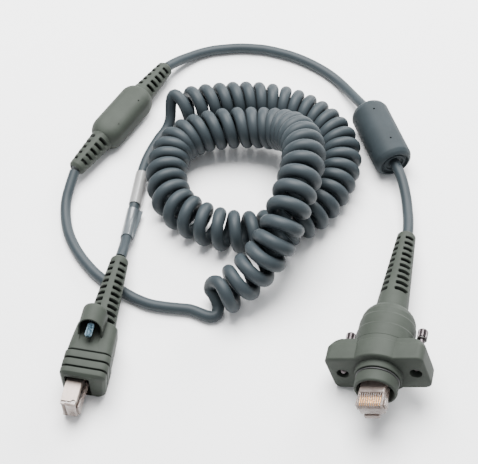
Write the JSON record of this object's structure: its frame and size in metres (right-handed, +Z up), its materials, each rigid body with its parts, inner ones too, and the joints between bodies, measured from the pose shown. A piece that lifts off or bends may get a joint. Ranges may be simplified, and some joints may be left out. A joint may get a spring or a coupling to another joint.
{
  "type": "coiled scanner interface cable",
  "caption": "Curly interface cable with a ribbed shielded plug, a flanged sealed plug with captive screws and two moulded ferrite chokes.",
  "frame": {"origin": "on the surface the cable lies on, under the middle of the box round the two connectors and two chokes", "axes": "+Z up, +Y from the plugs' ends towards the chokes, +X towards the side of the flanged connector"},
  "size_m": [0.1675, 0.2224, 0.0432],
  "materials": {
    "grey_green_moulding": "satin moulded vinyl",
    "blue_grey_jacket": "smooth extruded vinyl jacket",
    "clear_plug": "clear polycarbonate",
    "gold_contacts": "gold plated",
    "nickel_shield": "bright nickel plated sheet",
    "zinc_screw": "bluish zinc plated steel",
    "dark_nickel_screws": "dark nickel plated steel",
    "copper_ferrule": "plain",
    "ferrite": "sintered ferrite",
    "black_insert": "matt",
    "seal_rubber": "smooth",
    "label_film": "printed white film",
    "laminate_film": "clear laminate"
  },
  "bodies": {
    "cable_set": {"bridge_cord": "blue_grey_jacket", "cable_label": "label_film", "coil_cord": "blue_grey_jacket", "host_cable_end": "blue_grey_jacket", "host_contact_1": "gold_contacts", "host_contact_10": "gold_contacts", "host_contact_2": "gold_contacts", "host_contact_3": "gold_contacts", "host_contact_4": "gold_contacts", "host_contact_5": "gold_contacts", "host_contact_6": "gold_contacts", "host_contact_7": "gold_contacts", "host_contact_8": "gold_contacts", "host_contact_9": "gold_contacts", "host_cord": "blue_grey_jacket", "host_crimp_ferrule": "copper_ferrule", "host_overmould": "grey_green_moulding", "host_plug_body": "clear_plug", "host_plug_shield": "nickel_shield", "label_laminate": "laminate_film", "left_choke_cable": "blue_grey_jacket", "left_choke_ferrite": "ferrite", "left_choke_overmould": "grey_green_moulding", "right_choke_cable": "blue_grey_jacket", "right_choke_ferrite": "ferrite", "right_choke_overmould": "blue_grey_jacket", "tail_cord": "blue_grey_jacket", "terminal_boot": "grey_green_moulding", "terminal_cable_end": "blue_grey_jacket", "terminal_contact_1": "gold_contacts", "terminal_contact_10": "gold_contacts", "terminal_contact_2": "gold_contacts", "terminal_contact_3": "gold_contacts", "terminal_contact_4": "gold_contacts", "terminal_contact_5": "gold_contacts", "terminal_contact_6": "gold_contacts", "terminal_contact_7": "gold_contacts", "terminal_contact_8": "gold_contacts", "terminal_contact_9": "gold_contacts", "terminal_cord": "blue_grey_jacket", "terminal_crimp_ferrule": "copper_ferrule", "terminal_flange": "grey_green_moulding", "terminal_plug_body": "clear_plug", "terminal_plug_holder": "black_insert", "terminal_seal_ring": "seal_rubber"},
    "host_latch": {"host_plug_latch": "clear_plug"},
    "terminal_latch": {"terminal_plug_latch": "clear_plug"},
    "host_screw_carriage": {"host_washer": "black_insert"},
    "host_thumbscrew": {"host_screw": "zinc_screw"},
    "left_screw_carriage": {"terminal_left_washer": "black_insert"},
    "left_captive_screw": {"terminal_left_screw": "dark_nickel_screws"},
    "right_screw_carriage": {"terminal_right_washer": "black_insert"},
    "right_captive_screw": {"terminal_right_screw": "dark_nickel_screws"}
  },
  "joints": [
    {"name": "host_latch_press", "type": "hinge", "parent": "cable_set", "child": "host_latch", "pos_m": [-0.06796, -0.09476, 0.00748], "axis": [-0.0019, -0.0103, 0.9999], "range_deg": [0, 3], "stiffness_Nm_per_rad": 0.3},
    {"name": "terminal_latch_press", "type": "hinge", "parent": "cable_set", "child": "terminal_latch", "pos_m": [0.05443, -0.10061, 0.01431], "axis": [0.9141, -0.1924, 0.357], "range_deg": [0, 6], "stiffness_Nm_per_rad": 0.3},
    {"name": "host_screw_slide", "type": "slide", "parent": "cable_set", "child": "host_screw_carriage", "axis": [-0.1822, -0.9832, -0.0105], "range_m": [0, 0.001]},
    {"name": "host_screw_turn", "type": "hinge", "parent": "host_screw_carriage", "child": "host_thumbscrew", "pos_m": [-0.06243, -0.05587, 0.0223], "axis": [-0.1822, -0.9832, -0.0105], "continuous": true},
    {"name": "left_screw_slide", "type": "slide", "parent": "cable_set", "child": "left_screw_carriage", "axis": [-0.2376, -0.9674, 0.0872], "range_m": [0, 0.0045]},
    {"name": "left_screw_turn", "type": "hinge", "parent": "left_screw_carriage", "child": "left_captive_screw", "pos_m": [0.04746, -0.06299, 0.01014], "axis": [-0.2376, -0.9674, 0.0872], "continuous": true},
    {"name": "right_screw_slide", "type": "slide", "parent": "cable_set", "child": "right_screw_carriage", "axis": [-0.2376, -0.9674, 0.0872], "range_m": [0, 0.006]},
    {"name": "right_screw_turn", "type": "hinge", "parent": "right_screw_carriage", "child": "right_captive_screw", "pos_m": [0.07686, -0.06775, 0.02137], "axis": [-0.2376, -0.9674, 0.0872], "continuous": true}
  ]
}
